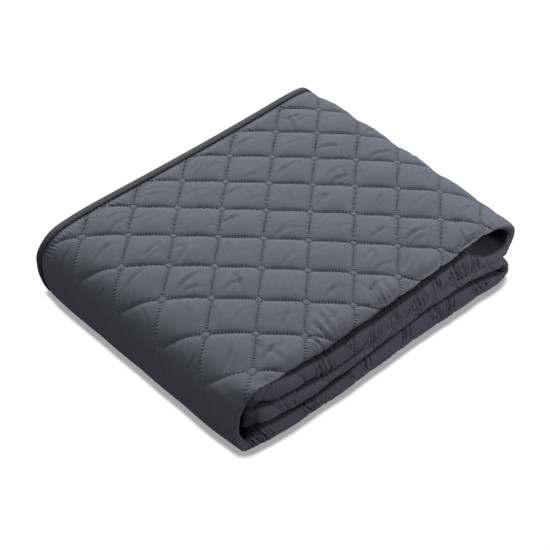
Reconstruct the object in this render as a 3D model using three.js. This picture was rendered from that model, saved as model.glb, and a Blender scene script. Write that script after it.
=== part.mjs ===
// A quilted electric blanket, folded to be put away. It is folded in quarters across its width,
// which makes a strip of four plies, and the strip is then folded along its length into four
// passes: top, upper middle, lower middle and bottom. The two ends of the strip lie inside.
// Millimetres. +X runs along the front, +Y from the front folds to the bound edge, +Z is up.
import * as THREE from 'three';

// Quilting: diamonds whose diagonals lie along the blanket's edges.
const cellSide = 50;
const diamond = cellSide * Math.SQRT2;
const puffHeight = 3;
const puffFullness = 0.6;
const crossingX = 14;
const crossingY = 23.7;

// Plies: each takes its share of the strip's thickness up to its full loft, and air lies between.
// The folded front edge is blunt: flatter and squarer than a half round.
const plyShare = 0.215;
const plyLoft = 4.6;
const innerFoldSetback = 3;
const frontBluntness = 0.65;
const frontSquareness = 0.55;

// The bound long edge: where it runs and how far the plies below it stop short.
const hemMiddle = 169.5;
const hemSlope = 0.041;
const hemBow = 0.00012;
const innerHemSetback = 14;
const rearFoldSetback = 4;

// Edge binding: a tape folded over the cloth's edge, which is pressed thin inside it.
const tapeDepth = 11;
const tapeLipClear = 0.6;
const tapeClear = 0.3;
const tapeProud = 0.12;
const tapeBack = 1.2;
const pressedShare = 0.5;
const pressedRun = 4;

// How the stack settles: its right-hand folds run out of square, its corners are round in plan,
// its large bend pulls in at the rear near the floor, and it is lower at its edges than in the
// middle. Right and left say over which stretch, outwards along X, the two ends' parts grow.
const halfDepth = 176;
const rightFlare = 9;
const cornerStart = 118;
const leftCornerPull = 9;
const rightCornerPull = 5;
const leftRearPull = 9;
const rearPullHeight = 70;
const rightStretch = [-60, 190];
const leftStretch = [100, 200];
const sideLimit = 1.1;
const frontDrop = 0.05;
const rearDrop = 0.02;

// The strip's lengthways fold, from its upper inner end round to its lower inner end.
// x, z: middle of the strip. thick: all four plies. front: y of the folded edge.
// shown: 1 where the outer ply is exposed, 0 where it lies against another pass.
const foldRows = [
  // x, z, thick, front, shown
  [-180, 64.2, 12.5, -174, 0],
  [-162, 63.4, 15.5, -177, 0],
  [-140, 62, 19, -178, 0],
  [-110, 60, 21.5, -178, 0],
  [-40, 59.8, 22, -179, 0],
  [50, 60.5, 20.5, -179, 0],
  [120, 60.5, 19, -178, 0],
  [172, 57, 15, -174, 0.3],
  [201, 55.8, 13.5, -169, 1],
  [215, 59.6, 13, -167, 1],
  [220, 68.5, 13, -165, 1],
  [215, 77.4, 13, -164, 1],
  [202, 81.5, 13.5, -164, 1],
  [172, 83, 14.5, -165, 1],
  [120, 81.5, 18.5, -167, 1],
  [50, 81.2, 20, -170, 1],
  [-30, 81.5, 20.5, -172, 1],
  [-110, 81.8, 20, -173, 1],
  [-158, 82, 16, -174, 1],
  [-185, 78, 11, -174, 1],
  [-198, 64, 9, -174, 1],
  [-201, 46, 9, -174, 1],
  [-202, 28, 9.5, -174, 1],
  [-196, 11, 12, -175, 1],
  [-168, 11.5, 21, -178, 1],
  [-140, 11, 20, -179, 1],
  [-85, 9, 16, -179, 1],
  [-45, 8.8, 15.5, -179, 1],
  [-15, 12.5, 23, -178, 1],
  [25, 14.8, 28, -177, 1],
  [80, 16.8, 31.5, -176, 1],
  [125, 16.5, 29, -175, 1],
  [166, 13.5, 19, -173, 1],
  [196, 12, 14, -171, 1],
  [210, 15.9, 13, -168, 1],
  [215.5, 24.5, 13, -167, 1],
  [210, 32.8, 13, -168, 1],
  [197, 36.8, 13.5, -170, 1],
  [164, 41.5, 15, -174, 0.3],
  [125, 42.6, 15, -178, 0],
  [80, 41.5, 16, -179, 0],
  [25, 39, 18.3, -179, 0],
  [-15, 36.5, 23, -179, 0],
  [-45, 32.8, 29, -179, 0],
  [-85, 33, 29.5, -179, 0],
  [-110, 33.8, 29, -179, 0],
  [-140, 36.8, 29, -179, 0],
  [-165, 40, 29.5, -178, 0],
  [-184, 42, 26, -174, 0],
];

// Everything of the strip above this level, with its outer side up, is the top pass.
const topPassLevel = 70;

// How finely the surfaces are cut.
const pathSamples = 2400;
const columnStep = diamond / 4;
const firstColumn = -10;
const lastColumn = 7;
const hiddenColumns = [-10, -8, -3, 2, 6];
const stationStep = diamond / 8;
const bendSlope = 0.15;
const leastShown = 0.05;
const frontFoldSteps = 6;
const smallFoldSteps = 3;

const clamp = THREE.MathUtils.clamp;
const smoothstep = THREE.MathUtils.smoothstep;
const signedPower = (value, exponent) => Math.sign(value) * Math.abs(value) ** exponent;

// Height of the quilting at a place given in diamonds along and across: 0 on a seam, 1 in mid-cell.
function quilting(along, across) {
  const ridge = Math.sin(Math.PI * (along + across)) * Math.sin(Math.PI * (along - across));
  return Math.abs(ridge) ** puffFullness;
}

// The strip's path, sampled finely, with the distance run along its outer surface.
function samplePath() {
  const line = new THREE.CatmullRomCurve3(
    foldRows.map(([x, z, , front]) => new THREE.Vector3(x, front, z)), false, 'catmullrom', 0.5);
  const state = new THREE.CatmullRomCurve3(
    foldRows.map(([, , thick, , shown]) => new THREE.Vector3(thick, shown, 0)), false, 'catmullrom', 0.5);
  const samples = [];
  let run = 0;
  for (let i = 0; i <= pathSamples; i += 1) {
    const t = i / pathSamples;
    const middle = line.getPoint(t);
    const heading = line.getTangent(t).setY(0).normalize();
    const outward = new THREE.Vector3(heading.z, 0, -heading.x);
    const thick = state.getPoint(t).x;
    const outer = new THREE.Vector3(middle.x, 0, middle.z).addScaledVector(outward, thick / 2);
    if (i > 0) {
      run += outer.distanceTo(samples[i - 1].outer);
    }
    const shown = clamp(state.getPoint(t).y, 0, 1);
    samples.push({ run, middle, heading, outward, thick, shown, outer });
  }
  return samples;
}

const path = samplePath();
const pathLength = path[pathSamples].run;

// The distance run to the place on the top pass where a seam crossing lies.
const crossingRun = path.filter(({ outward, middle }) => outward.z > 0 && middle.z > topPassLevel)
  .map(({ run, outer }) => ({ run, miss: Math.abs(outer.x - crossingX) }))
  .reduce((best, next) => (next.miss < best.miss ? next : best)).run;

// A cross-station of the strip, at a distance run along its outer surface.
function stationAt(run) {
  const inside = clamp(run, 0, pathLength);
  const after = clamp(path.findIndex((s) => s.run >= inside), 1, pathSamples);
  const [a, b] = [path[after - 1], path[after]];
  const share = (inside - a.run) / (b.run - a.run);
  const middle = a.middle.clone().lerp(b.middle, share);
  const heading = a.heading.clone().lerp(b.heading, share).normalize();
  return {
    run,
    x: middle.x,
    front: middle.y,
    origin: new THREE.Vector3(middle.x, 0, middle.z).addScaledVector(heading, run - inside),
    heading,
    outward: new THREE.Vector3(heading.z, 0, -heading.x),
    thick: THREE.MathUtils.lerp(a.thick, b.thick, share),
    shown: THREE.MathUtils.lerp(a.shown, b.shown, share),
    endThin: Math.min(run, pathLength - run) < tapeDepth + pressedRun / 2 ? pressedShare : 1,
  };
}

// Columns run along the strip. Each has its place in the section and says where it is cut finely.
const columnY = (index) => crossingY + index * columnStep;

// Half the thickness of one ply.
function halfPly(station) {
  return Math.min(plyLoft, station.thick * plyShare) / 2;
}

// The quarter fold at a station: the cloth's middle line from the outer hem, round the front fold,
// the rear fold and the inner front fold, to the inner hem. Every entry has the middle line's
// y and level, the normal that points to the cloth's face, and the half thickness there.
function sectionAt(station) {
  const half = halfPly(station);
  const pitch = (station.thick - 2 * half) / 3;
  const hem = hemMiddle + hemSlope * station.x + hemBow * station.x ** 2;
  const innerHem = hem - innerHemSetback;
  const frontReach = 1.5 * pitch * frontBluntness;
  const frontCentre = station.front + frontReach + half;
  const rearCentre = hem - rearFoldSetback - pitch / 2 - half;
  const section = [];

  const flat = (y, ply, facing, { thin = 1, kind = 'hidden', twin = true } = {}) => {
    section.push({
      y,
      level: ply * pitch,
      normal: [0, facing],
      half: half * Math.min(thin, station.endThin),
      kind,
      twin,
      across: (y - crossingY) / diamond,
      bulge: 1,
    });
  };
  const turn = (centre, level, [reachY, reachLevel], fromDeg, toDeg, { steps, facing, kind, square = 1 }) => {
    for (let i = 0; i <= steps; i += 1) {
      const angle = THREE.MathUtils.degToRad(THREE.MathUtils.lerp(fromDeg, toDeg, i / steps));
      const [c, s] = [Math.cos(angle), Math.sin(angle)];
      const normal = new THREE.Vector2(
        signedPower(c, 2 - square) / reachY, signedPower(s, 2 - square) / reachLevel);
      normal.normalize().multiplyScalar(facing);
      section.push({
        y: centre + reachY * signedPower(c, square),
        level: level + reachLevel * signedPower(s, square),
        normal: [normal.x, normal.y],
        half: half * station.endThin,
        kind,
        twin: true,
        across: (centre - crossingY - (reachLevel + half) * (angle - Math.PI / 2)) / diamond,
        bulge: Math.max(0, -c),
        above: i <= steps / 2,
      });
    }
  };
  const hidden = (ply, facing, order) => {
    order.forEach((index) => flat(columnY(index), ply, facing));
  };

  flat(hem, 1.5, 1, { thin: pressedShare });
  flat(hem - tapeDepth, 1.5, 1, { thin: pressedShare });
  flat(hem - tapeDepth - pressedRun, 1.5, 1);
  for (let index = lastColumn; index >= firstColumn; index -= 1) {
    flat(columnY(index), 1.5, 1, { kind: 'face', twin: hiddenColumns.includes(index) });
  }
  turn(frontCentre, 0, [frontReach, 1.5 * pitch], 90, 270,
    { steps: frontFoldSteps, facing: 1, kind: 'fold', square: frontSquareness });
  hidden(-1.5, -1, hiddenColumns);
  turn(rearCentre, -pitch, [pitch / 2, pitch / 2], -90, 90, { steps: smallFoldSteps, facing: 1, kind: 'hidden' });
  hidden(-0.5, 1, [...hiddenColumns].reverse());
  turn(frontCentre + innerFoldSetback, 0, [pitch / 2, pitch / 2], 270, 90,
    { steps: smallFoldSteps, facing: -1, kind: 'hidden' });
  hidden(0.5, -1, hiddenColumns);
  flat(innerHem - tapeDepth - pressedRun, 0.5, -1);
  flat(innerHem - tapeDepth, 0.5, -1, { thin: pressedShare });
  flat(innerHem, 0.5, -1, { thin: pressedShare });
  return section;
}

// A point of the section, moved off the cloth's middle line by an offset, in space.
function place(station, entry, offset, puff = 0) {
  const reach = offset + puff;
  const level = entry.level + entry.normal[1] * reach;
  const point = station.origin.clone().addScaledVector(station.outward, level);
  point.y = entry.y + entry.normal[0] * reach;
  return settle(point);
}

// The stack as it settles on the surface it lies on.
function settle(point) {
  const side = clamp(point.y / halfDepth, -sideLimit, sideLimit);
  const right = smoothstep(point.x, ...rightStretch);
  const left = smoothstep(-point.x, ...leftStretch);
  const corner = (outwardY) => Math.max(0, (outwardY - cornerStart) / (halfDepth - cornerStart)) ** 2;
  const low = 1 - smoothstep(point.z, 0, rearPullHeight);
  point.x += right * (rightFlare * side - rightCornerPull * corner(-point.y));
  point.x += left * (leftCornerPull * corner(-point.y) + leftRearPull * low * corner(point.y));
  const drop = side < 0 ? frontDrop : rearDrop;
  point.z = Math.max(0, point.z * (1 - drop * side * side));
  return point;
}

// Where the quilting shows on the cloth's face, and how strongly.
function puffAt(station, entry) {
  if (entry.kind === 'hidden') {
    return 0;
  }
  const along = (station.run - crossingRun) / diamond;
  let weight = station.shown;
  if (entry.kind === 'fold') {
    weight = entry.above ? Math.max(entry.bulge, station.shown) : entry.bulge;
  }
  if (station.endThin < 1) {
    weight = 0;
  }
  return puffHeight * quilting(along, entry.across) * weight;
}

// Distances at which the strip is cut: finely where it bends or shows, coarsely elsewhere.
function stationRuns() {
  const ends = [0, tapeDepth, tapeDepth + pressedRun];
  const margin = tapeDepth + 2 * pressedRun;
  const runs = ends.map((run) => ({ run, coarse: true, bend: true }));
  const first = Math.ceil((margin - crossingRun) / stationStep);
  const last = Math.floor((pathLength - margin - crossingRun) / stationStep);
  for (let step = first; step <= last; step += 1) {
    const run = crossingRun + step * stationStep;
    const bend = Math.abs(stationAt(run).heading.z) > bendSlope;
    if (bend || step % 2 === 0) {
      runs.push({ run, bend, coarse: bend ? step % 2 === 0 : step % 8 === 0 });
    }
  }
  ends.reverse().forEach((run) => runs.push({ run: pathLength - run, coarse: true, bend: true }));
  return runs;
}

const stations = stationRuns().map(({ run, coarse, bend }) => ({ ...stationAt(run), coarse, bend }));

// Which stations a column of the cloth is cut at.
function columnStations(kind) {
  return stations.map((station, index) => ({ station, index })).filter(({ station }) => {
    if (station.coarse || kind === 'fold') {
      return true;
    }
    return kind === 'face' && station.shown > leastShown;
  }).map(({ index }) => index);
}

// Joins two rows of points that run side by side, each with its own spacing, into a strip of faces.
// A square between matching points is split along the diagonal that follows the quilting better.
function joinRows(rowA, rowB) {
  const faces = [];
  let [i, j] = [0, 0];
  while (i < rowA.length - 1 || j < rowB.length - 1) {
    const [a, b] = [rowA[i], rowB[j]];
    const [nextA, nextB] = [rowA[i + 1], rowB[j + 1]];
    if (nextA && nextB && nextA.order === nextB.order) {
      const height = puffHeight * quilting((a.along + nextA.along) / 2, (a.across + b.across) / 2);
      const errorAB = Math.abs(height - (a.puff + nextB.puff) / 2);
      const errorBA = Math.abs(height - (b.puff + nextA.puff) / 2);
      faces.push(...(errorAB < errorBA
        ? [[a.id, nextB.id, nextA.id], [a.id, b.id, nextB.id]]
        : [[a.id, b.id, nextA.id], [nextA.id, b.id, nextB.id]]));
      i += 1;
      j += 1;
    } else if (nextA && (!nextB || nextA.order < nextB.order)) {
      faces.push([a.id, b.id, nextA.id]);
      i += 1;
    } else {
      faces.push([a.id, b.id, nextB.id]);
      j += 1;
    }
  }
  return faces;
}

// A closed body from columns of points that stand round a section. Each end is closed by a strip
// between two rows of columns, the section's outer and inner ones.
function closedBody(columns, outerRow, innerRow) {
  const positions = [];
  columns.flat().forEach((spot) => {
    spot.id = positions.length / 3;
    positions.push(...spot.point);
  });
  const faces = columns.flatMap((column, number) => joinRows(column, columns[(number + 1) % columns.length]));
  [0, -1].forEach((end) => {
    const rim = (row) => row.map(({ column, order }) => ({ ...columns[column].at(end), order }));
    const cap = joinRows(rim(outerRow), rim(innerRow));
    faces.push(...(end === 0 ? cap : cap.map(([p, q, r]) => [p, r, q])));
  });
  return facingOut(positions, faces);
}

// Turns a closed body's faces outwards.
function facingOut(positions, faces) {
  const corner = (id) => new THREE.Vector3().fromArray(positions, id * 3);
  const volume = faces.reduce((sum, [p, q, r]) => sum + corner(p).dot(corner(q).cross(corner(r))), 0);
  const geometry = new THREE.BufferGeometry();
  geometry.setAttribute('position', new THREE.Float32BufferAttribute(positions, 3));
  geometry.setIndex(faces.flatMap(([p, q, r]) => (volume > 0 ? [p, q, r] : [p, r, q])));
  geometry.computeVertexNormals();
  return geometry;
}

// The quilted cloth: its face side from the outer hem to the inner one, and back along its other side.
function clothGeometry() {
  const sections = stations.map(sectionAt);
  const column = (number, facing) => {
    const kind = facing > 0 ? sections[0][number].kind : 'hidden';
    return columnStations(kind).map((order) => {
      const station = stations[order];
      const entry = sections[order][number];
      const puff = facing > 0 ? puffAt(station, entry) : 0;
      const point = place(station, entry, facing * entry.half, puff);
      return { order, point, puff, along: (station.run - crossingRun) / diamond, across: entry.across };
    });
  };
  const numbers = sections[0].map((entry, number) => number);
  const twins = numbers.filter((number) => sections[0][number].twin);
  const columns = [...numbers.map((n) => column(n, 1)), ...twins.map((n) => column(n, -1)).reverse()];
  const outerRow = numbers.map((number) => ({ column: number, order: number }));
  const innerRow = twins.map((number, index) => ({ column: columns.length - 1 - index, order: number }));
  return closedBody(columns, outerRow, innerRow);
}

// The tape's own section, folded over an edge: distance in from the edge, and height off the ply.
function tapeSection(half) {
  const inner = half * pressedShare + tapeClear;
  const outer = half + tapeProud;
  const reach = tapeDepth - tapeLipClear;
  return [
    [-tapeBack, outer], [reach, outer], [reach, inner], [-tapeClear, inner],
    [-tapeClear, -inner], [reach, -inner], [reach, -outer], [-tapeBack, -outer],
  ];
}

// A tape body from one eight-point ring for each place along it.
function tapeGeometry(rings) {
  const columns = rings[0].map((corner, number) => rings.map((ring, order) => (
    { order, point: ring[number], puff: 0, along: 0, across: 0 })));
  const row = (...numbers) => numbers.map((column, order) => ({ column, order }));
  return closedBody(columns, row(6, 7, 0, 1), row(5, 4, 3, 2));
}

// Tape along a long edge: the outer hem is the section's first entry and the inner hem its last.
function sideTape(outerHem) {
  const ends = [stationAt(-tapeBack), stationAt(pathLength + tapeBack)];
  const along = [ends[0], ...stations.filter((station) => station.coarse), ends[1]];
  const rings = along.map((station) => {
    const section = sectionAt(station);
    const edge = outerHem ? section[0] : section[section.length - 1];
    return tapeSection(halfPly(station)).map(([u, n]) => place(station, { ...edge, y: edge.y - u }, n));
  });
  return tapeGeometry(rings);
}

// Tape across one end of the strip: it follows the quarter fold between the two side tapes.
function endTape(run, inward) {
  const half = halfPly(stationAt(run));
  const corners = tapeSection(half).map(([u, n]) => {
    const station = stationAt(run + inward * u);
    const entries = sectionAt(station).slice(1, -1);
    [entries[0], entries[entries.length - 1]].forEach((entry) => {
      entry.y -= tapeClear;
    });
    return entries.map((entry) => place(station, entry, n));
  });
  const rings = corners[0].map((point, number) => corners.map((corner) => corner[number]));
  return tapeGeometry(rings);
}

const cloth = new THREE.MeshStandardMaterial({ color: 0x5b5f6a, roughness: 0.9, metalness: 0 });
const tape = new THREE.MeshStandardMaterial({ color: 0x484b55, roughness: 0.85, metalness: 0 });

const blanket = new THREE.Group();

function addPiece(name, geometry, material) {
  const mesh = new THREE.Mesh(geometry, material);
  mesh.name = name;
  blanket.add(mesh);
}

addPiece('quilted_cloth', clothGeometry(), cloth);
addPiece('binding_outer_side', sideTape(true), tape);
addPiece('binding_inner_side', sideTape(false), tape);
addPiece('binding_end_upper', endTape(0, 1), tape);
addPiece('binding_end_lower', endTape(pathLength, -1), tape);

// The origin is the middle of the folded blanket's footprint, on the surface it lies on.
const middle = new THREE.Box3().setFromObject(blanket).getCenter(new THREE.Vector3());
blanket.position.set(-middle.x, -middle.y, 0);

export default blanket;
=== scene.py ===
import math
import bmesh
import bpy
import numpy as np
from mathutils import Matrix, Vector


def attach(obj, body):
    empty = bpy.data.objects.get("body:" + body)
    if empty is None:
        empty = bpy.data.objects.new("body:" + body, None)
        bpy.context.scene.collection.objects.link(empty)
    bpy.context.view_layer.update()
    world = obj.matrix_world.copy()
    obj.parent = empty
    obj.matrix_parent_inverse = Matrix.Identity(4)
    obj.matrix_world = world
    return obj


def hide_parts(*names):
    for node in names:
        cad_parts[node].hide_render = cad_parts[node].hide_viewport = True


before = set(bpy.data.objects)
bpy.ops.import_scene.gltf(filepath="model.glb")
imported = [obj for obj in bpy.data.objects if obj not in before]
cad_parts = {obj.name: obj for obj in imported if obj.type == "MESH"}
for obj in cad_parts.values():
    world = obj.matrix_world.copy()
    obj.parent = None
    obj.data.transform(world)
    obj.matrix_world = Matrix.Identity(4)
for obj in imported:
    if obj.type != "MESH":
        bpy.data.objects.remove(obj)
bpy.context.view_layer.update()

mm = 0.001
diagonal = math.sqrt(2)

# All places and sizes below are in millimetres. This is where the frame's origin, the middle of the
# footprint, lies in them.
origin = (13.117, 1.657)

quilt = {
    "cellSide": 50,               # the length of a diamond's sides
    "crossing": (14, 23.7),       # a seam crossing of the top face
    "height": 4.8,                # how far a cell stands up from its seams
    "fullness": 0.5,              # lower is a flatter, fuller cell with steeper sides
    "stitchedFlat": 0.7,          # half the width that the stitches press flat
    "wave": 0.011,                # how far a seam wanders off its straight line, in cells
    "tuftRadius": 4.0,            # the small round tuft at each crossing
    "tuftHeight": 0.35,
    "tuftRise": 3.2,              # how far from a tuft the cells reach their height
}
diamond = quilt["cellSide"] * diagonal

# Soft creases inside the cells, each cell's own.
creases = {
    "seed": 4,
    "count": 3,                   # in each cell, at most
    "depth": 2.5,
    "ridge": 0.55,                # how high the ridge beside a crease is, as a share of its depth
    "spread": 30,                 # how far apart their middles lie
    "halfLength": (10, 20),
    "halfWidth": (1.1, 2.7),
    "leaning": 0.42,              # the share of them that lean the other way
    "skipped": 0.25,
}

# Irregular pleats that the stitches draw into the cells' edges.
seamPleat = {
    "depth": 0.8,
    "pitch": 6.3,
    "start": 1.5,
    "reach": 7.5,
    "tuftClear": 6,
}

# One ply of the quarter fold.
ply = {
    "share": 0.215,               # its thickness, as a share of the strip's
    "loft": 4.6,                  # and the most that it swells to
    "innerSetback": 3,            # how far the inner fold lies behind the front one
    "frontLength": 0.8,           # the front turn's length, as a share of a half round's
    "flushSquareness": 9,
    "pressed": 0.5,               # how thin it is pressed inside the binding
    "pressedRun": 4,
    "calmSide": 14,               # how far from the bindings the quilting reaches its height
    "calmEnd": 8,
    # how far the front edge rounds out, and how square its outer and inner half are, by fold table row
    "edgeRows": [
        (0, 0.7, 3.6, 2.6), (8, 0.7, 3.6, 2.6), (12, 1.2, 2.3, 3.0), (18, 1.2, 2.3, 3.0),
        (20, 0.65, 3.6, 2.7), (23, 0.65, 3.6, 2.9), (25, 0.7, 3.6, 3.4), (28, 0.75, 3.6, 3.0),
        (30, 0.8, 3.6, 2.5), (33, 0.8, 3.6, 2.5), (44, 0.8, 3.6, 2.4), (46, 0.7, 3.6, 3.2),
        (49, 0.7, 3.6, 3.6),
    ],
}

# The left bend's front rim is pressed thinner, towards its outside.
rim = {
    "start": 110,
    "full": 160,
    # how much of its thickness is left, by row of the fold table
    "rows": [(17.5, 1), (18.8, 0.45), (20, 0.48), (22, 0.68), (23.6, 1)],
}

# The bound long edge: its y, how it slants and bows along x, and how far the plies below stop short.
hem = {
    "middle": 169.5,
    "slope": 0.041,
    "bow": 0.00012,
    "innerSetback": 14,
    "rearSetback": 4,
}

# How far the two ends, hidden in the left bend, run on past the last rows.
endExtra = {"upper": 7, "lower": 8}

# The binding, folded over the cloth's edge.
tape = {
    "depth": 8.6,                 # how far it reaches in from the edge
    "lipClear": 0.6,
    "proud": 0.35,                # how far it stands off the pressed cloth
    "back": 1.2,                  # and off its edge
    "thick": 0.8,
    "lowest": 0.9,                # its outside stays this high, and its wall off the surface
    "step": 4,                    # along a side
    "turnSteps": 4,               # for each coarse step of the cloth round its turns
    "hemClear": 16,               # an end's tape stops this far from the inner hem
    "hemSteps": 2,                # and starts this many coarse steps from the outer one
}

# Short puckers where the binding gathers the cloth.
puckers = {
    "depth": 1.0,
    "pitch": 5.2,
    "lean": 0.25,
    "start": (-3, 2),             # from the binding's lip
    "end": (4, 19),
}

# How the stack settles: its sides in plan, and how much lower it lies at its front and rear edge.
settled = {
    "halfDepth": 176,
    "frontDepth": 172,
    "sideLimit": 1.1,
    "cornerStart": 118,
    "rightStretch": (-60, 190),
    "rightFlare": 9,
    "rightCornerPull": 5,
    "leftStretch": (-100, -200),
    "leftCornerPull": 5,
    "leftWaist": 3.2,
    "leftRearPull": 9,
    "rearPullHeight": 70,
    "frontDrop": 0.05,
    "rearDrop": 0.02,
}

# Local pulls at its two ends: the axis that moves and how far, then where, as axes with the places at
# which the pull starts and is full. A hump has its middle and half its width instead.
pulls = [
    ("y", 6, ("y", -120, -168), ("x", -180, -200), ("z", 8, 26)),          # the left bend's rim
    ("x", -7, ("y", -110, -168), ("x", -160, -184), ("z", 60, 76)),        # the left bend's shoulder
    ("x", -7, ("x", 165, 212), ("z", 62, 90), ("y", -80, -160)),           # the top's right end
    ("x", -11, ("z", 41, 9, "hump"), ("x", 185, 215), ("y", -110, -165)),  # between the right bends
    ("z", -7, ("x", 172, 225), ("z", 48, 84), ("y", -70, -170)),           # the upper right bend
    ("x", 13, ("x", 120, 200), ("y", -40, -170), ("x", 150, 205), ("z", 88, 66)),  # the folds below
    ("x", -8, ("x", 185, 215), ("z", 36, 12), ("y", -100, -160)),          # the lower bend's foot
    ("x", -3.5, ("x", 150, 212), ("y", 105, 170), ("z", 44, 70)),          # the upper bend's rear
    ("y", -6, ("y", -120, -168), ("x", 50, 200), ("z", 60, 30)),           # the bottom fold's front
]

# The strip's lengthways fold. x, z: its middle. thick: all four plies. front: y of the folded edge.
# shown: where the outer ply is exposed. flush: where its upper or lower edge meets its neighbour's.
foldRows = [
    # x, z, thick, front, shown, flush
    (-180, 64.2, 12.5, -174, 0, 0),
    (-162, 63.4, 15.5, -177, 0, 0),
    (-140, 62, 19, -178, 0, 0),
    (-110, 60, 21.5, -178, 0, 0),
    (-40, 59.8, 22, -179, 0, 0.4),
    (50, 60.5, 20.5, -179, 0, 1),
    (120, 60.5, 19, -176, 0, 1),
    (172, 57, 15, -174, 0.3, 0.6),
    (201, 55.8, 13.5, -169, 1, 0),
    (215, 59.6, 13, -167, 1, 0),
    (220, 68.5, 13, -165, 1, 0),
    (215, 77.4, 13, -164, 1, 0),
    (202, 81.5, 13.5, -165, 1, 0),
    (172, 83, 14.5, -166, 1, 0),
    (120, 81.5, 18.5, -169, 1, 0),
    (50, 81.2, 20, -172, 1, 0),
    (-30, 81.5, 20.5, -174, 1, 0),
    (-110, 81.8, 20, -175, 1, 0),
    (-152, 81.3, 16.8, -175, 1, 0),
    (-179, 78.2, 12, -174, 1, 0),
    (-196, 63.3, 9.8, -174, 1, 0),
    (-201, 46, 9, -174, 1, 0),
    (-202, 28, 9.5, -174, 1, 0),
    (-196, 11, 12, -175, 1, 0),
    (-168, 11.5, 21, -178, 1, 0),
    (-140, 11, 20, -179, 1, 0),
    (-85, 9, 16, -179, 1, 0),
    (-45, 8.8, 15.5, -179, 1, 0),
    (-15, 12.5, 23, -178, 1, 0),
    (25, 14.8, 28, -177, 1, 0),
    (80, 16.8, 31.5, -176, 1, 0),
    (125, 16.5, 29, -175, 1, 0),
    (166, 13.5, 19, -173, 1, 0),
    (196, 12, 14, -171, 1, 0),
    (210, 15.9, 13, -168, 1, 0),
    (215.5, 24.5, 13, -167, 1, 0),
    (210, 32.8, 13, -168, 1, 0),
    (197, 36.8, 13.5, -170, 1, 0),
    (164, 41.5, 15, -174, 0.3, 0.6),
    (125, 42.6, 15, -178, 0, 1),
    (80, 41.5, 16, -179, 0, 1),
    (25, 39, 18.3, -179, 0, 1),
    (-15, 36.5, 23, -179, 0, 0.7),
    (-45, 32.8, 29, -179, 0, 0.2),
    (-85, 33, 29.5, -179, 0, 0),
    (-110, 33.8, 29, -179, 0, 0),
    (-140, 36.8, 29, -179, 0, 0),
    (-165, 40, 29.5, -178, 0, 0),
    (-184, 42, 26, -174, 0, 0),
]
# Where the folds' front edges meet, by x: the heights of the upper surface of each fold and of the
# under surface of the fold on it, once the soft edges have filled the space between them.
frontMeets = [
    # x, bottom's upper, lower's under, lower's upper, upper's under, upper's upper, top's under
    (-200, 27.2, 31.9, 55.0, 65.0, 80.0, 82.0),
    (-186, 31.2, 34.9, 57.5, 66.0, 82.0, 84.0),
    (-172, 28.7, 32.4, 56.2, 62.8, 83.0, 85.0),
    (-158, 25.8, 29.7, 54.4, 59.6, 82.6, 84.2),
    (-130, 23.0, 27.3, 51.7, 53.8, 77.5, 80.5),
    (-106, 21.5, 25.8, 48.2, 50.2, 76.5, 79.5),
    (-80, 22.5, 26.8, 45.7, 47.6, 73.5, 76.5),
    (-58, 24.5, 28.8, 45.2, 47.1, 74.5, 77.5),
    (-34, 30.0, 34.3, 46.5, 46.8, 78.5, 81.5),
    (-14, 31.0, 35.3, 47.0, 47.3, 77.0, 80.0),
    (5, 32.5, 36.8, 50.0, 50.3, 79.0, 82.0),
    (45, 37.5, 41.8, 53.0, 53.3, 81.0, 84.0),
    (90, 41.0, 45.3, 56.0, 56.3, 82.5, 85.5),
    (125, 40.2, 43.9, 56.0, 56.3, 81.8, 84.5),
    (145, 37.2, 41.7, 52.5, 53.0, 83.0, 88.0),
    (160, 35.5, 38.5, 48.5, 49.5, 73.5, 88.0),
    (175, 31.0, 36.0, 44.5, 46.0, 60.0, 87.0),
    (190, 24.0, 30.0, 40.5, 43.5, 51.5, 83.5),
    (200, 18.0, 25.0, 36.0, 41.0, 48.5, 81.5),
    (212, 11.0, 17.0, 29.0, 37.5, 45.0, 80.0),
    (226, 8.0, 13.0, 24.0, 36.0, 43.0, 78.0),
]
frontFill = {
    "depth": (-126, -164),        # the y where this starts and is full
    "bend": (-174, -192),         # the left bend keeps its own heights
    "bendHeight": (46, 62),
    "bendEnd": (-193, -199),
    "least": 0.05,
}

# The four passes, by row of the fold table.
passRows = {"upper": (0, 8), "top": (12, 18), "bottom": (24, 33), "lower": (37, 49)}

# Where the pattern lies on each fold's front edge: a crossing's x, its row, and a shift across, in diamonds.
patternPlaces = {
    "upper": (-38, -2.5, 0.27),
    "bottom": (-26, -3, 0.0),
    "lower": (-38, -2.5, 0.10),
}

# How full the cells stand on each stretch of the strip, by row of the fold table.
rowFullness = [
    (0, 0.55), (8, 0.4), (10, 0.4), (12, 0.75), (13, 1), (18, 1), (19, 0.6), (20, 0.22),
    (21, 0.09), (23, 0.09), (25, 0.35), (33, 0.35), (35, 0.4), (38, 0.5), (48, 0.5),
]

# How plainly the stitches show, by row of the fold table: they fade out down the left bend.
seamRows = [
    (0, 0.45), (9, 0.5), (12, 1), (18.3, 1), (19.4, 0.5), (20.6, 0.25), (23, 0.22), (25, 0.4), (49, 0.45),
]

# Painted shade in the creases between the folds: how dark their colour is painted, by how far the cloth
# faces up or down, and how deep it lies.
creaseShade = {
    "facing": (0.3, 0.8),
    "depth": (2.5, 5.5),
    "lip": 0.5,                   # at the front edge itself
    "upperLip": 0.12,             # and there on the upper pass
    "upperRows": (11, 8),
}

# The front edges' wrinkles, with small pleats between them.
edgeFolds = {
    "front": (-148, -164),        # the y where they start and are full
    "depth": 1.25,
    "smallPleats": 0.4,
    "smallPitch": 5.6,
    "flatShare": 0.4,             # how deep they are on the folds' flats, as a share
    "lowest": 3,
}

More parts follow.
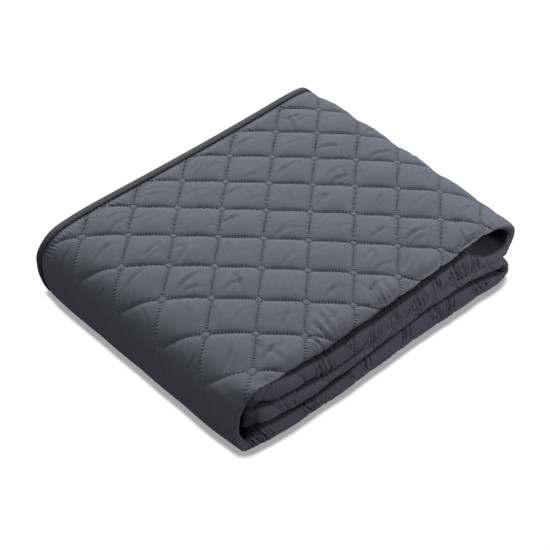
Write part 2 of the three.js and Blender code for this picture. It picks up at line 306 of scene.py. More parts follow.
# Their groups of short slanting wrinkles: middle x and height, how many, how far apart, how far each
# leans along for a step up, how tall, how deep.
edgeWrinkles = [
    (-176, 74, 3, 4.5, -0.1, 16, 1.4),
    (-138, 42, 5, 5.0, -0.45, 20, 1.8),
    (-88, 60, 5, 6.0, -0.25, 34, 1.8),
    (-50, 72, 2, 6.0, -0.1, 20, 1.4),
    (-15, 58, 4, 5.2, 0.0, 24, 1.5),
    (10, 66, 4, 5.0, -0.1, 24, 1.2),
    (54, 66, 4, 6.0, -0.35, 26, 1.9),
    (80, 74, 3, 5.5, -0.2, 20, 2.0),
    (120, 66, 5, 6.0, -0.45, 28, 2.2),
    (147, 66, 4, 5.5, 0.0, 24, 1.8),
    (182, 62, 4, 6.5, 0.1, 20, 1.4),
    (208, 84, 6, 4.6, 0.0, 16, 1.7),
    (-176, 18, 7, 4.7, -0.5, 22, 3.0),
    (-109, 17, 4, 5.0, -0.6, 18, 3.0),
    (-50, 22, 2, 5.5, -0.6, 14, 3.0),
    (-22, 24, 2, 6.5, 0.0, 18, 2.2),
    (38, 27, 3, 6.0, 0.1, 22, 2.0),
    (84, 28, 4, 5.5, -0.6, 20, 3.1),
    (110, 28, 2, 6.5, 0.0, 26, 2.2),
    (156, 27, 6, 5.0, -0.5, 20, 3.1),
    (200, 26, 4, 6.0, 0.0, 16, 1.6),
]

# Long soft wrinkles that run from the top's cells down to its front edge: places (x, y), depth, width.
# They are only on the top pass, above this height on its flat and on its front edge.
topLowest = {"flat": 76, "front": 80}
topWrinkles = [
    ([(-98, -146), (-92, -154), (-89, -163), (-88, -174)], 1.9, 1.7),
    ([(-74, -141), (-74, -148), (-75, -155), (-77, -165)], 1.7, 2.2),
    ([(-60, -132), (-60, -142), (-62, -152), (-67, -163)], 1.5, 2.0),
    ([(-49, -130), (-50, -144), (-53, -158), (-60, -172)], 1.4, 2.2),
    ([(-44, -140), (-48, -156), (-54, -171)], 0.9, 1.8),
    ([(3, -124), (6, -137), (4, -150), (-5, -166)], 1.1, 2.6),
    ([(12, -130), (11, -141), (7, -154), (0, -169)], 1.5, 1.8),
    ([(19, -128), (17, -140), (12, -153), (6, -169)], 2.0, 1.8),
    ([(30, -132), (27, -146), (19, -166)], 0.8, 2.4),
    ([(96, -128), (97, -142), (92, -158)], 0.8, 3.2),
    ([(-140, -132), (-134, -146), (-133, -164)], 0.9, 3.0),
    ([(-146, -112), (-136, -128), (-130, -146)], 0.6, 4.0),
    ([(163, -118), (160, -134), (154, -152)], 0.8, 3.0),
    ([(186, -128), (182, -142), (178, -158)], 1.0, 2.2),
    ([(196, -130), (193, -144), (190, -160)], 1.0, 2.0),
]

# How finely the flat sheet is cut, along and across it.
mesh = {
    "samples": 2400,              # points on the fold's path
    "coarse": diamond / 3.75,
    "bendStep": 4.6,
    "bendSlope": 0.12,            # a strip steeper than this is on a bend
    "downSlope": 0.7,             # and past this its outer side faces down
    "leastShown": 0.03,
    "topStep": 2.0,
    "fineRows": ((7, 8.3), (11, 20.6)),
    "plainStep": 5,               # the underside, the smooth bends and the cloth behind the front edge
    "edgeAlong": 1.2,
    "edgeAcross": 2.3,
    "edgeZone": 8,
    "creaseZone": 30,
    "puckerZone": 25,
    "slack": 1.35,                # an edge is halved when it is this much longer than its step
    "halvings": 5,
}

# The flat sheet is laid out from its outer hem to its inner hem: name, nominal width, coarse steps.
stretches = [
    ("outer", 330, 18),
    ("front", 34, 4),
    ("fourth", 322, 18),
    ("rear", 12, 3),
    ("third", 318, 18),
    ("inner", 12, 3),
    ("second", 300, 17),
]
stretchStart = np.concatenate([[0], np.cumsum([width for name, width, steps in stretches])])


def smoothstep(value, low, high):
    share = np.clip((value - low) / (high - low), 0, 1)
    return share * share * (3 - 2 * share)


def fadeBetween(place, axis, start, full, hump=None):
    # a share that grows from the one place to the other, or a hump round a middle
    if hump:
        return np.exp(-((place[axis] - start) / full) ** 2)
    return smoothstep(place[axis], start, full)


def stretchAt(across):
    # which stretch of the flat sheet a place across it lies on: its number, and whether it is each one
    number = np.searchsorted(stretchStart, across, side="right") - 1
    number = np.clip(number, 0, len(stretches) - 1)
    return number, {name: number == n for n, (name, width, steps) in enumerate(stretches)}


def samplePath():
    # the strip's middle line, sampled finely, with the distance run along its outer side
    rows = np.array(foldRows, float)
    ends = [2 * rows[0] - rows[1], 2 * rows[-1] - rows[-2]]
    knots = np.vstack([ends[0], rows, ends[1]])
    place = np.linspace(0, len(rows) - 1, mesh["samples"] + 1)
    row = np.minimum(place.astype(int), len(rows) - 2)
    share = (place - row)[:, None]
    before, a, b, after = knots[row], knots[row + 1], knots[row + 2], knots[row + 3]
    cubic = -before + 3 * a - 3 * b + after
    square = 2 * before - 5 * a + 4 * b - after
    value = a + 0.5 * ((b - before) * share + square * share ** 2 + cubic * share ** 3)
    slope = 0.5 * ((b - before) + 2 * square * share + 3 * cubic * share ** 2)
    heading = slope[:, :2] / np.linalg.norm(slope[:, :2], axis=1)[:, None]
    outward = np.stack([heading[:, 1], -heading[:, 0]], 1)
    outer = value[:, :2] + outward * value[:, 2:3] / 2
    steps = np.linalg.norm(np.diff(outer, axis=0), axis=1)
    run = np.concatenate([[0], np.cumsum(steps)])
    return {
        "row": place, "run": run, "x": value[:, 0], "z": value[:, 1], "thick": value[:, 2],
        "front": value[:, 3], "shown": np.clip(value[:, 4], 0, 1), "flush": np.clip(value[:, 5], 0, 1),
        "headX": heading[:, 0], "headZ": heading[:, 1], "outerX": outer[:, 0],
    }


path = samplePath()
pathLength = path["run"][-1]


def onPass(passName, wanted, x, measured="x"):
    # a value of the path at a place on one of the four passes
    first, last = passRows[passName]
    inside = (path["row"] >= first) & (path["row"] <= last)
    order = np.argsort(path[measured][inside])
    return np.interp(x, path[measured][inside][order], path[wanted][inside][order])


def runAt(passName, x):
    # the distance run to a place on the outside of a pass
    return float(onPass(passName, "run", x, "outerX"))


crossingRun = runAt("top", quilt["crossing"][0])
crossingY = quilt["crossing"][1]


def listedAt(station, rows):
    # a value that a list gives by row of the fold table
    places, values = zip(*rows)
    return np.interp(station["row"], places, values)


def pastTape(fromEdge, reach):
    # a share that grows from the binding's lip inwards, by the distance from the bound edge
    return smoothstep(fromEdge, tape["depth"], tape["depth"] + reach)


def pressedAt(fromEdge):
    # how much of its thickness a ply keeps beside the binding
    return ply["pressed"] + (1 - ply["pressed"]) * pastTape(fromEdge, ply["pressedRun"])


def stationAt(run):
    # the strip's cross-station at each distance run
    inside = np.clip(run, 0, pathLength)
    station = {name: np.interp(inside, path["run"], path[name]) for name in path if name != "run"}
    size = np.hypot(station["headX"], station["headZ"])
    for axis, heading in ("x", "headX"), ("z", "headZ"):
        station[heading] /= size
        station[axis] = station[axis] + station[heading] * (run - inside)
    station["nearEnd"] = np.minimum(run + endExtra["upper"], pathLength + endExtra["lower"] - run)
    station["endThin"] = pressedAt(station["nearEnd"])
    station["half"] = np.minimum(ply["loft"], station["thick"] * ply["share"]) / 2
    station["pitch"] = (station["thick"] - 2 * station["half"]) / 3
    for column, name in enumerate(["bluntness", "outerSquare", "innerSquare"], 1):
        station[name] = listedAt(station, [(row[0], row[column]) for row in ply["edgeRows"]])
    station["fullness"] = listedAt(station, rowFullness)
    bow = hem["bow"] * station["x"] ** 2
    station["hem"] = hem["middle"] + hem["slope"] * station["x"] + bow
    return station


def roundedTurn(angle, reachY, reachLevel, power):
    # a place and its normal on a rounded, squarish turn of the cloth, by the angle seen from its centre
    c, s = np.cos(angle), np.sin(angle)
    radius = (np.abs(c) ** power + np.abs(s) ** power) ** (-1 / power)
    normalY = np.sign(c) * np.abs(c * radius) ** (power - 1) / reachY
    normalLevel = np.sign(s) * np.abs(s * radius) ** (power - 1) / reachLevel
    size = np.hypot(normalY, normalLevel)
    return radius * c * reachY, radius * s * reachLevel, normalY / size, normalLevel / size


def sectionAt(station, across):
    # the quarter fold: where the sheet's middle line lies for a place across the flat sheet
    number, on = stretchAt(across)
    width = stretchStart[number + 1] - stretchStart[number]
    share = (across - stretchStart[number]) / width
    half, pitch, hemY = station["half"], station["pitch"], station["hem"]
    flush = station["flush"]
    frontReach = 1.5 * pitch * station["bluntness"]
    frontCentre = station["front"] + frontReach + half
    rearCentre = hemY - hem["rearSetback"] - pitch / 2 - half
    innerCentre = frontCentre + ply["innerSetback"]
    innerHem = hemY - hem["innerSetback"]
    y, level, normalY, normalLevel, angle = np.zeros((5, len(across)))
    flats = [
        ("outer", hemY, frontCentre, 1.5, 1),
        ("fourth", frontCentre, rearCentre, -1.5, -1),
        ("third", rearCentre, innerCentre, -0.5, 1),
        ("second", innerCentre, innerHem, 0.5, -1),
    ]
    for name, start, end, layer, facing in flats:
        y = np.where(on[name], start + (end - start) * share, y)
        level = np.where(on[name], layer * pitch, level)
        normalLevel = np.where(on[name], facing, normalLevel)
    turnLength = math.pi * (ply["frontLength"] * pitch * 1.5 + half)
    turns = [
        ("front", frontCentre, 0, frontReach, 1.5 * pitch, 90, 270, 1),
        ("rear", rearCentre, -pitch, pitch / 2, pitch / 2, -90, 90, 1),
        ("inner", innerCentre, 0, pitch / 2, pitch / 2, 270, 90, -1),
    ]
    for name, centre, layer, reachY, reachLevel, start, end, facing in turns:
        here = on[name]
        angle = np.where(here, np.radians(start + (end - start) * share), angle)
        power = np.full_like(across, 2.0)
        if name == "front":
            squarer = station["outerSquare"] + (ply["flushSquareness"] - station["outerSquare"]) * flush
            power = np.where(np.sin(angle) > 0, squarer, station["innerSquare"])
        offY, offLevel, turnY, turnLevel = roundedTurn(angle, reachY, reachLevel, power)
        y = np.where(here, centre + offY, y)
        level = np.where(here, layer + offLevel, level)
        normalY = np.where(here, facing * turnY, normalY)
        normalLevel = np.where(here, facing * turnLevel, normalLevel)
    isFront, isOuter = on["front"], on["outer"]
    atFold = frontCentre - crossingY
    patterns = [y - crossingY, atFold - turnLength * share, atFold - turnLength - (y - frontCentre)]
    pattern = np.select([isOuter, isFront, on["fourth"]], patterns, 0)
    roundness = np.maximum(0, -np.cos(angle))
    shown = station["shown"]
    above = np.maximum(roundness, np.maximum(shown, flush))
    below = roundness ** 2 * (1 - 0.75 * shown)
    bulge = np.where(isFront, np.where(np.sin(angle) > 0, above, below), np.where(isOuter, shown, 0))
    bulge = bulge * (1 - 0.5 * isFront * roundness * shown)
    # painted shade: how dark each place's colour is painted in a crease between the folds, where shade falls
    turned = smoothstep(np.abs(normalLevel), *creaseShade["facing"])
    covered = (1 - shown) * (1 - 0.9 * flush)
    frontPaintedShade = turned * np.where(np.sin(angle) > 0, covered, 1)
    hidden = np.where(isFront, frontPaintedShade, np.where(isOuter, covered, 1))
    onUpper = smoothstep(station["row"], *creaseShade["upperRows"])
    atLip = creaseShade["lip"] + (creaseShade["upperLip"] - creaseShade["lip"]) * onUpper
    hidden = hidden * (atLip + (1 - atLip) * smoothstep(y - station["front"], *creaseShade["depth"]))
    pressed = 1 - listedAt(station, rim["rows"])
    level = level + (1.5 * pitch - level) * pressed * smoothstep(-y, rim["start"], rim["full"])
    fromHem = np.where(isOuter, hemY - y, np.where(on["second"], innerHem - y, 999))
    return {
        "y": y, "level": level, "normalY": normalY, "normalLevel": normalLevel,
        "half": half * np.minimum(station["endThin"], pressedAt(fromHem)), "pattern": pattern,
        "bulge": bulge, "hidden": hidden, "roundness": np.where(isFront, roundness, 0),
        "isOuter": isOuter, "isFront": isFront, "fromHem": fromHem,
    }


def surfacesOf(passName, x):
    # the heights of a pass's under and upper surface along the front
    middle, half = onPass(passName, "z", x), onPass(passName, "thick", x) / 2
    return middle - half, middle + half


def frontLevels(x, y, z):
    # the soft front edges fill the space between the folds, so they meet higher than the folds do
    onBend = smoothstep(x, *frontFill["bend"]) * smoothstep(z, *frontFill["bendHeight"])
    weight = smoothstep(y, *frontFill["depth"]) * (1 - onBend) * (1 - smoothstep(x, *frontFill["bendEnd"]))
    chosen = weight > 0
    if not chosen.any():
        return z
    x, high = x[chosen], z[chosen]
    meets = np.array(frontMeets)
    squeeze = 1 - settled["frontDrop"] * (settled["frontDepth"] / settled["halfDepth"]) ** 2
    surfaces = [z for name in ("bottom", "lower", "upper", "top") for z in surfacesOf(name, x)]
    before = [np.zeros_like(x), *surfaces[1:]]
    after = [np.interp(x, meets[:, 0], meets[:, n]) / squeeze for n in range(1, 7)]
    after = [np.zeros_like(x), *after, surfaces[-1]]
    for n in range(1, len(before)):
        before[n] = np.maximum(before[n], before[n - 1] + frontFill["least"])
        after[n] = np.maximum(after[n], after[n - 1] + frontFill["least"])
    moved = high.copy()
    for n in range(1, len(before)):
        inside = (high > before[n - 1]) & (high <= before[n])
        share = (high - before[n - 1]) / (before[n] - before[n - 1])
        moved = np.where(inside, after[n - 1] + (after[n] - after[n - 1]) * share, moved)
    result = z.copy()
    result[chosen] += weight[chosen] * (moved - high)
    return result


def settle(x, y, z):
    # the stack as it settles on the surface it lies on
    s = settled
    z = frontLevels(x, y, z)
    side = np.clip(y / s["halfDepth"], -s["sideLimit"], s["sideLimit"])
    right = smoothstep(x, *s["rightStretch"])
    left = smoothstep(x, *s["leftStretch"])
    spread = s["halfDepth"] - s["cornerStart"]
    frontCorner = np.maximum(0, (-y - s["cornerStart"]) / spread) ** 2
    rearCorner = np.maximum(0, (y - s["cornerStart"]) / spread) ** 2
    low = smoothstep(z, s["rearPullHeight"], 0)
    x = x + right * (s["rightFlare"] * side - s["rightCornerPull"] * frontCorner)
    x = x + left * (s["leftCornerPull"] * frontCorner + s["leftRearPull"] * low * rearCorner)
    # the large bend's foot is drawn in, less towards its ends
    x = x + left * low * s["leftWaist"] * (1 - np.abs(side / s["sideLimit"]) ** 6)
    place = {"x": x, "y": y, "z": z}
    for axis, distance, *fades in pulls:
        share = 1
        for fade in fades:
            share = share * fadeBetween(place, *fade)
        place[axis] = place[axis] + distance * share
    drop = np.where(side < 0, s["frontDrop"], s["rearDrop"])
    return place["x"], place["y"], np.maximum(0, place["z"] * (1 - drop * side * side))


def placePoints(station, section, offset):
    # points off the sheet's middle line, folded, settled and moved into the frame, in metres
    level = section["level"] + section["normalLevel"] * offset
    x = station["x"] + station["headZ"] * level
    z = station["z"] - station["headX"] * level
    y = section["y"] + section["normalY"] * offset
    x, y, z = settle(x, y, z)
    return np.stack([x - origin[0], y - origin[1], z], 1) * mm


def seamDistances(along, across):
    # a place's own coordinates along the two families of seams, in cells, and how far each seam is
    u = along + across
    v = along - across
    u = u + quilt["wave"] * np.sin(2 * math.pi * v)
    v = v + quilt["wave"] * np.sin(2 * math.pi * (along + across))
    du = np.abs(u - np.round(u)) * quilt["cellSide"]
    dv = np.abs(v - np.round(v)) * quilt["cellSide"]
    return u, v, du, dv


def cellCreases(u, v):
    # soft creases across each cell, mostly along two directions
    rng = np.random.default_rng(creases["seed"])
    cells = 64
    table = rng.uniform(0, 1, (cells, cells, creases["count"], 6))
    iu = np.floor(u).astype(int) % cells
    iv = np.floor(v).astype(int) % cells
    fu = (u - np.floor(u) - 0.5) * quilt["cellSide"]
    fv = (v - np.floor(v) - 0.5) * quilt["cellSide"]
    # along and across the blanket, from the cell's middle
    x = (fu + fv) / diagonal
    y = (fu - fv) / diagonal
    shortest, longest = creases["halfLength"]
    narrowest, widest = creases["halfWidth"]
    total = np.zeros_like(u)
    for number in range(creases["count"]):
        own = table[iu, iv, number]
        oneWay = math.pi * (0.16 - 0.26 * own[..., 0])
        otherWay = math.pi * (0.62 + 0.2 * own[..., 0])
        angle = np.where(own[..., 4] > creases["leaning"], oneWay, otherWay)
        dx = x - creases["spread"] * (own[..., 1] - 0.5)
        dy = y - creases["spread"] * (own[..., 2] - 0.5)
        length = shortest + (longest - shortest) * own[..., 3]
        width = narrowest + (widest - narrowest) * own[..., 1]
        depth = np.where(own[..., 5] > creases["skipped"], own[..., 5], 0)
        a = dx * np.cos(angle) + dy * np.sin(angle)
        b = -dx * np.sin(angle) + dy * np.cos(angle) + 0.012 * a * a
        ridge = np.exp(-((b - 1.8 * width) / width) ** 2)
        dip = np.exp(-(b / width) ** 2) - creases["ridge"] * ridge
        total -= depth * dip * np.exp(-(a / length) ** 4)
    return total * creases["depth"]


def seamPleats(along, distance, phase):
    # irregular pleats square to a seam, from the place along it and the distance off it
    t = along * quilt["cellSide"]
    drift = 2.4 * np.sin(t / 12.7 + phase) + 3 * np.sin(t / 41 + 2 * phase)
    wave = np.sin(2 * math.pi * t / seamPleat["pitch"] + drift)
    strength = np.clip(0.55 + 0.6 * np.sin(t / 8.9 + 3 * phase) + 0.3 * np.sin(t / 23 + phase), 0, 1)
    fade = np.clip(distance / seamPleat["start"], 0, 1) * np.exp(-(distance / seamPleat["reach"]) ** 2)
    return seamPleat["depth"] * wave * strength * fade


def quiltRelief(along, across):
    # height of the quilted face above its stitched level, in mm
    u, v, du, dv = seamDistances(along, across)
    half = quilt["cellSide"] / 2
    flat = quilt["stitchedFlat"]
    radius = quilt["tuftRadius"]

    def rise(distance):
        share = np.clip((distance - flat) / (half - flat), 0, 1)
        return (1 - (1 - share) ** 2) ** quilt["fullness"]

    fromCrossing = np.hypot(du, dv)
    cell = quilt["height"] * rise(du) * rise(dv)
    cell *= np.clip((fromCrossing - radius - flat) / quilt["tuftRise"], 0, 1) ** 0.6
    cell += cellCreases(u, v) * rise(du) * rise(dv)
    pleats = seamPleats(v, du, 1.3) + seamPleats(u, dv, 4.1)
    cell += pleats * np.clip((fromCrossing - radius) / seamPleat["tuftClear"], 0, 1)
    inside = np.clip(1 - (fromCrossing / (radius - flat / 2)) ** 2, 0, 1)
    return np.where(fromCrossing < radius, quilt["tuftHeight"] * inside ** 0.7, cell)


def patternPlace(run, station, across):
    # the quilting's own coordinates, in diamonds; each pass's shift comes in along the bends
    shifts = {"top": (0, 0)}
    for name, (x, crossingRow, shift) in patternPlaces.items():
        place = (runAt(name, x) - crossingRun) / diamond + crossingRow % 1
        shifts[name] = (round(place) - place, shift)
    rows = [0, 6.5, 11, 18, 24, 33, 38, len(foldRows) - 1]
    names = ["upper", "upper", "top", "top", "bottom", "bottom", "lower", "lower"]
    alongShift = np.interp(station["row"], rows, [shifts[name][0] for name in names])
    acrossShift = np.interp(station["row"], rows, [shifts[name][1] for name in names])
    return (run - crossingRun) / diamond + alongShift, across / diamond + acrossShift


def edgeWrinkleRelief(x, y, z):
    # the groups of wrinkles in the front edges, as narrow hollows between soft ridges
    total = np.zeros_like(x)
    for middle, height, count, pitch, lean, tall, depth in edgeWrinkles:
        local = x - middle - lean * (z - height)
        local = local + 0.9 * np.sin(0.55 * local + middle) + 0.5 * np.sin(0.3 * (z - height))
        envelope = np.exp(-(local / (0.52 * count * pitch)) ** 6)
        envelope = envelope * np.exp(-((z - height) / (0.52 * tall)) ** 4)
        wave = (0.5 + 0.5 * np.cos(2 * math.pi * local / pitch + math.pi * (count % 2 == 0))) ** 1.6
        total += edgeFolds["depth"] * depth * envelope * (0.38 - wave)
    bent = x - 0.35 * z + 3.1 * np.sin(x / 7.7 + 0.4) + 2.2 * np.sin(z / 6.1 + x / 23)
    pleats = np.sin(2 * math.pi * bent / edgeFolds["smallPitch"])
    pleats *= np.clip(0.1 + np.sin(x / 15.3 + z / 12.1), 0, 1)
    return (total + edgeFolds["smallPleats"] * pleats) * smoothstep(y, *edgeFolds["front"])


def topWrinkleRelief(x, y):
    # each long wrinkle is a hollow with a ridge along its right side
    total = np.zeros_like(x)
    for places, depth, width in topWrinkles:
        line = np.array(places[::-1], float)
        middle = np.interp(y, line[:, 1], line[:, 0])
        slope = np.interp(y, (line[1:, 1] + line[:-1, 1]) / 2, np.diff(line[:, 0]) / np.diff(line[:, 1]))
        off = (x - middle) / np.sqrt(1 + slope ** 2)
        length = line[-1, 1] - line[0, 1]
        along = np.clip((y - line[0, 1]) / length, 0, 1)
        fade = smoothstep(y, line[0, 1] - 6, line[0, 1] + 2)
        fade = fade * smoothstep(y, line[-1, 1] + 2, line[-1, 1] - 0.35 * length)
        shape = np.exp(-(off / width) ** 2) - 0.6 * np.exp(-((off - 2.1 * width) / (1.2 * width)) ** 2)
        total -= depth * fade * shape * (0.6 + 0.4 * np.sin(math.pi * along))
    return total


def hemPuckers(run, fromHem, along):
    # short puckers beside the binding, fuller in the middle of a cell
    bent = (run + puckers["lean"] * fromHem) / puckers["pitch"]
    wave = np.sin(2 * math.pi * bent + 1.7 * np.sin(run / 9.0))
    gather = 0.75 + 0.25 * np.cos(2 * math.pi * along)
    fromLip = fromHem - tape["depth"]
    fade = smoothstep(fromLip, *puckers["start"]) * (1 - smoothstep(fromLip, *puckers["end"]))
    return puckers["depth"] * wave * gather * fade


def wantedSteps(run, across, face):
    # how finely the sheet is cut at each place, along and across: finest where the quilting shows
    station = stationAt(run)
    on = stretchAt(across)[1]
    onBend = np.abs(station["headZ"]) > mesh["bendSlope"]
    facesDown = station["headX"] > mesh["downSlope"]
    seen = face & on["outer"] & (station["shown"] > mesh["leastShown"])
    closest = np.zeros_like(seen)
    for first, last in mesh["fineRows"]:
        closest |= (station["row"] >= first) & (station["row"] <= last)
    fine = seen & closest & ~facesDown
    puckered = fine & (across < mesh["puckerZone"])
    pastFront = across - stretchStart[2]
    crease = face & on["fourth"] & (pastFront < mesh["creaseZone"])
    edge = on["front"] | on["outer"] & (across > stretchStart[1] - mesh["edgeZone"])
    edge = face & (edge | on["fourth"] & (pastFront < mesh["edgeZone"]))
    alongStep = np.where(onBend, mesh["bendStep"], mesh["coarse"])
    steps = np.stack([alongStep, np.full_like(run, mesh["coarse"])])
    for here, along, across in [
        (seen & ~fine | crease, mesh["plainStep"], mesh["plainStep"]),
        (fine, mesh["topStep"], mesh["topStep"]),
        (puckered, mesh["edgeAlong"], mesh["topStep"]),
    ]:
        steps = np.where(here, np.minimum(steps, [[along], [across]]), steps)
    return np.where(edge, [[mesh["edgeAlong"]], [mesh["edgeAcross"]]], steps)


def cutFlatSheet():
    # the sheet lies flat: x is the distance along it, y across it, z the face at 0 and the back at -1
    alongCount = math.ceil(pathLength / mesh["coarse"])
    alongLines = np.linspace(-endExtra["upper"], pathLength + endExtra["lower"], alongCount + 1)
    acrossLines = [0.0]
    for name, width, steps in stretches:
        start = acrossLines[-1]
        acrossLines += [start + width * (step + 1) / steps for step in range(steps)]
    acrossCount = len(acrossLines) - 1
    bm = bmesh.new()
    bmesh.ops.create_grid(bm, x_segments=alongCount, y_segments=acrossCount, size=1)
    for v in bm.verts:
        i = round((v.co.x + 1) / 2 * alongCount)
        j = round((v.co.y + 1) / 2 * acrossCount)
        v.co = (alongLines[i], acrossLines[j], 0)
    bmesh.ops.solidify(bm, geom=bm.faces[:], thickness=1)
    low = min(v.co.z for v in bm.verts)
    high = max(v.co.z for v in bm.verts)
    for v in bm.verts:
        v.co.z = 0 if abs(v.co.z - high) < 0.5 * (high - low) else -1
    for halving in range(mesh["halvings"]):
        edges = bm.edges[:]
        ends = np.array([[*e.verts[0].co, *e.verts[1].co] for e in edges])
        spans = np.abs(ends[:, 3:] - ends[:, :3])
        middle = (ends[:, :3] + ends[:, 3:]) / 2
        face = middle[:, 2] > -0.01
        alongStep, acrossStep = wantedSteps(middle[:, 0], middle[:, 1], face)
        isAlong = (spans[:, 1] < 1e-6) & (spans[:, 2] < 0.1)
        isAcross = (spans[:, 0] < 1e-6) & (spans[:, 2] < 0.1)
        split = isAlong & (spans[:, 0] > mesh["slack"] * alongStep)
        split |= isAcross & (spans[:, 1] > mesh["slack"] * acrossStep)
        chosen = [edges[i] for i in np.nonzero(split)[0]]
        if not chosen:
            break
        bmesh.ops.subdivide_edges(bm, edges=chosen, cuts=1, use_grid_fill=True)
    return bm


def buildCloth():
    bm = cutFlatSheet()
    bm.verts.ensure_lookup_table()
    flat = np.array([v.co[:] for v in bm.verts])
    run, across, face = flat[:, 0], flat[:, 1], flat[:, 2] > -0.5
    print("cloth: flat sheet with", len(flat), "points")
    station = stationAt(run)
    section = sectionAt(station, across)
    along, acrossDiamonds = patternPlace(run, station, section["pattern"])
    isOuter, isFront = section["isOuter"], section["isFront"]
    relief = quiltRelief(along, acrossDiamonds) * section["bulge"]
    calm = pastTape(section["fromHem"], ply["calmSide"]) * pastTape(station["nearEnd"], ply["calmEnd"])
    relief = relief * calm * station["fullness"]
    seamShow = listedAt(station, seamRows)
    base = placePoints(station, section, np.where(face, section["half"], -section["half"])) / mm
    x, y, z = base[:, 0] + origin[0], base[:, 1] + origin[1], base[:, 2]
    onTop = isOuter & (z > topLowest["flat"]) | isFront & (z > topLowest["front"])
    flatShare = edgeFolds["flatShare"]
    wrinkled = flatShare + (1 - flatShare) * smoothstep(section["roundness"], 0, 0.6)
    relief = relief + edgeWrinkleRelief(x, y, z) * wrinkled * (z > edgeFolds["lowest"])
    relief = relief + topWrinkleRelief(x, y) * onTop
    relief = relief + hemPuckers(run, section["fromHem"], along) * isOuter * station["shown"]
    relief = np.where(face, relief, 0)
    offset = np.where(face, section["half"] + relief, -section["half"])
    points = placePoints(station, section, offset)
    for v, point in zip(bm.verts, points):
        v.co = point
    layer = bm.loops.layers.uv.new("quilting")
    shades = bm.loops.layers.uv.new("shades")
    bm.verts.index_update()
    for f in bm.faces:
        f.smooth = True
        for loop in f.loops:
            i = loop.vert.index
            loop[layer].uv = (along[i], acrossDiamonds[i])
            # the first channel carries the painted crease shade, the second how plainly the stitches show
            loop[shades].uv = (section["hidden"][i], seamShow[i])
    bmesh.ops.recalc_face_normals(bm, faces=bm.faces[:])
    bmesh.ops.triangulate(bm, faces=[f for f in bm.faces if len(f.verts) > 4])
    return finishPiece(bm, "quilted_blanket_cloth")


def putIn(name, data):
    # a new object in the scene
    made = bpy.data.objects.new(name, data)
    bpy.context.scene.collection.objects.link(made)
    return made


def finishPiece(bm, name):
    data = bpy.data.meshes.new(name)
    bm.to_mesh(data)
    bm.free()
    data.calc_loop_triangles()
    print(name, len(data.loop_triangles), "triangles")
    return putIn(name, data)


def tapeCorners():
    # the tape's outside from one lip round the edge to the other: in from the edge, and off the ply
    reach = tape["depth"] - tape["lipClear"]
    outer = 1 + tape["proud"]
    edge = [(reach, outer), (reach * 0.66, outer), (reach * 0.33, outer), (0.4, outer)]
    round_ = [(-tape["back"] * math.sin(a), outer * math.cos(a)) for a in np.radians([25, 50, 75, 90])]
    top = edge + round_
    return top + [(u, -n) for u, n in reversed(top[:-1])]


def tapePoints(station, section, n):
    # where one of the tape's lines of points lies: n is its place off the middle of the ply
    reachOut = (station["half"] + tape["proud"]) * abs(n) / (1.0 + tape["proud"])
    return placePoints(station, section, np.sign(n) * reachOut)


def foldTape(name, lines):
    # a strip from its lines of points, which run along the tape, folded over the cloth's edge
    bm = bmesh.new()
    rows, columns = len(lines[0]), len(lines)
    bmesh.ops.create_grid(bm, x_segments=rows - 1, y_segments=columns - 1, size=1)
    layer = bm.loops.layers.uv.new("quilting")
    place = {}
    for v in bm.verts:
        i = round((v.co.x + 1) / 2 * (rows - 1))
        j = round((v.co.y + 1) / 2 * (columns - 1))
        place[v] = (i, j)
    for f in bm.faces:
        f.smooth = True
        for loop in f.loops:
            i, j = place[loop.vert]
            loop[layer].uv = (i * tapeLook["lineStep"], j / (columns - 1))
    for v, (i, j) in place.items():
        v.co = lines[j][i]
        v.co.z = max(v.co.z, tape["lowest"] * mm)
    bmesh.ops.recalc_face_normals(bm, faces=bm.faces[:])
    piece = finishPiece(bm, name)
    wall = piece.modifiers.new("wall", "SOLIDIFY")
    wall.thickness = tape["thick"] * mm
    wall.offset = -1
    return piece


def buildSideTape(name, outerHem):
    count = int(pathLength / tape["step"])
    first = -endExtra["upper"] - tape["back"]
    station = stationAt(np.linspace(first, pathLength + endExtra["lower"] + tape["back"], count))
    section = sectionAt(station, np.full(count, 0.0 if outerHem else stretchStart[-1] - 1e-6))
    lines = [tapePoints(station, {**section, "y": section["y"] - u}, n) for u, n in tapeCorners()]
    return foldTape(name, lines)


def buildEndTape(name, run, inward):
    across = []
    for number, (stretch, width, steps) in enumerate(stretches):
        start = stretchStart[number]
        fine = steps * tape["turnSteps"] if stretch in ("front", "rear", "inner") else steps
        across += [start + width * step / fine for step in range(fine)]
    across = np.array(across[tape["hemSteps"]:] + [stretchStart[-1] - tape["hemClear"]])
    lines = []
    for u, n in tapeCorners():
        station = stationAt(np.full(len(across), run + inward * u))
        lines.append(tapePoints(station, sectionAt(station, across), n))
    return foldTape(name, lines)


def operator(operation, swapped=False):
    # a sign between two fields, or a field and a number, adds the node that does its sum
    def combine(self, other):
        return self.shader.math(operation, *((other, self) if swapped else (self, other)))
    return combine


class Field:
    # one number or colour of a material
    __add__, __radd__ = operator("ADD"), operator("ADD", True)
    __sub__, __rsub__ = operator("SUBTRACT"), operator("SUBTRACT", True)
    __mul__, __rmul__ = operator("MULTIPLY"), operator("MULTIPLY", True)

    def __init__(self, shader, socket):
        self.shader = shader
        self.socket = socket


